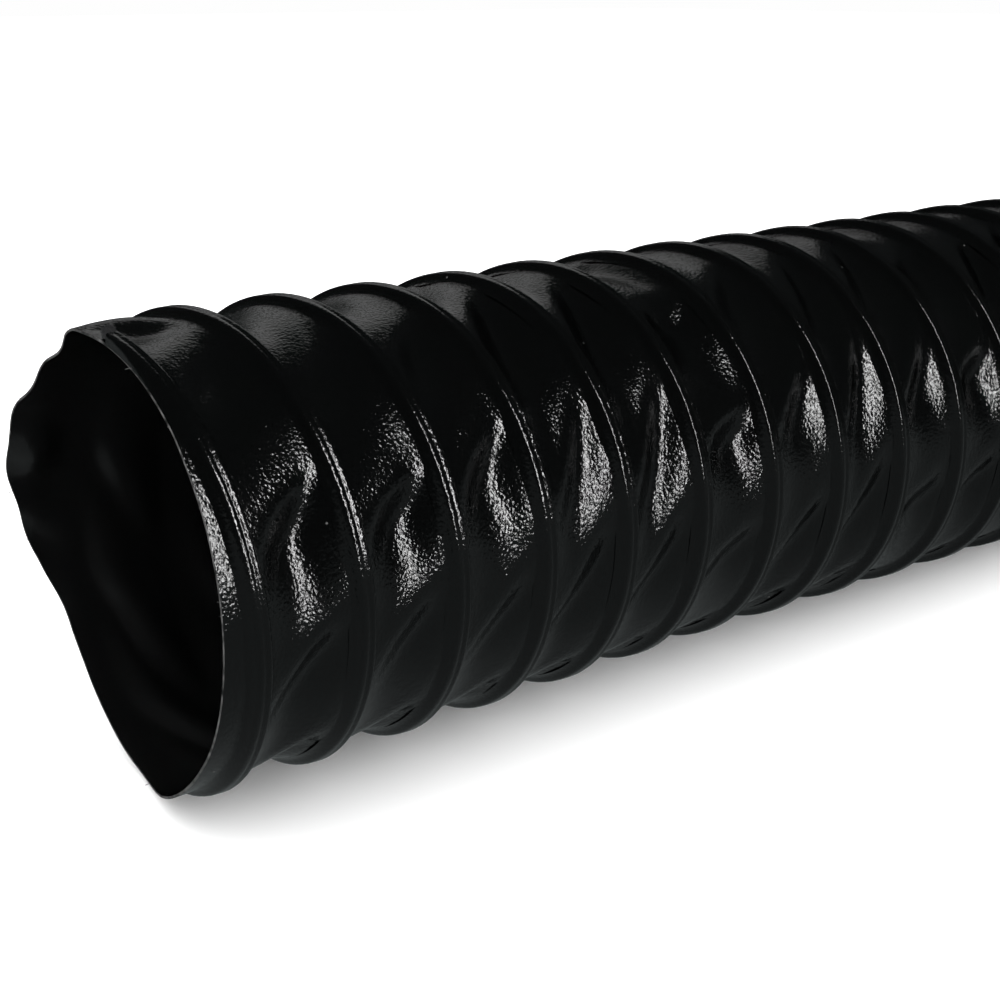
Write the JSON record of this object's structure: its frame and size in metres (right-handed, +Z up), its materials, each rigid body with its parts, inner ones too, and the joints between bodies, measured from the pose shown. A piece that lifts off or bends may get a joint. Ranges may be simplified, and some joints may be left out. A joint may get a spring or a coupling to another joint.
{
  "type": "flexible air duct",
  "caption": "Round black flexible air duct of coated fabric, held open by a wire helix under a bonded strip, with plain cut ends that clamp over a round spigot.",
  "frame": {"origin": "centre of the near mouth, on the duct's axis, in the plane of the cut end", "axes": "+X along the duct's axis from the near mouth to the far mouth, +Z up, so that the duct lies on its lowest flats; the camera side is -Y"},
  "size_m": [0.4092, 0.1094, 0.1084],
  "materials": {
    "fabric": "glossy black vinyl coating on woven polyester, fine leather-like grain",
    "cover": "glossy black vinyl strip bonded over the wire, fine grain",
    "wire": "drawn spring steel wire, satin",
    "seal": "glossy cured black adhesive"
  },
  "bodies": {
    "near_end": {"near_sleeve": "fabric", "near_wire": "wire", "near_cover": "cover", "near_wire_seal": "seal", "squeeze_sleeve": "fabric", "squeeze_wire": "wire", "squeeze_cover": "cover"},
    "middle": {"side_bend_sleeve": "fabric", "side_bend_wire": "wire", "side_bend_cover": "cover"},
    "rear": {"lift_bend_sleeve": "fabric", "lift_bend_wire": "wire", "lift_bend_cover": "cover"},
    "far_end": {"far_sleeve": "fabric", "far_wire": "wire", "far_cover": "cover", "far_wire_seal": "seal"}
  },
  "joints": [
    {"name": "squeeze", "type": "slide", "parent": "near_end", "child": "middle", "axis": [1, 0, 0], "range_m": [-0.071, 0], "stiffness_N_per_m": 60, "deforming": ["squeeze_sleeve", "squeeze_wire", "squeeze_cover"]},
    {"name": "side_bend", "type": "hinge", "parent": "middle", "child": "rear", "pos_m": [0.19261, 0, 0], "axis": [0, 0, 1], "range_deg": [-50, 50], "stiffness_Nm_per_rad": 0.4, "deforming": ["side_bend_sleeve", "side_bend_wire", "side_bend_cover"]},
    {"name": "lift_bend", "type": "hinge", "parent": "rear", "child": "far_end", "pos_m": [0.31961, 0, 0], "axis": [0, -1, 0], "range_deg": [-50, 50], "stiffness_Nm_per_rad": 0.4, "deforming": ["lift_bend_sleeve", "lift_bend_wire", "lift_bend_cover"]}
  ]
}
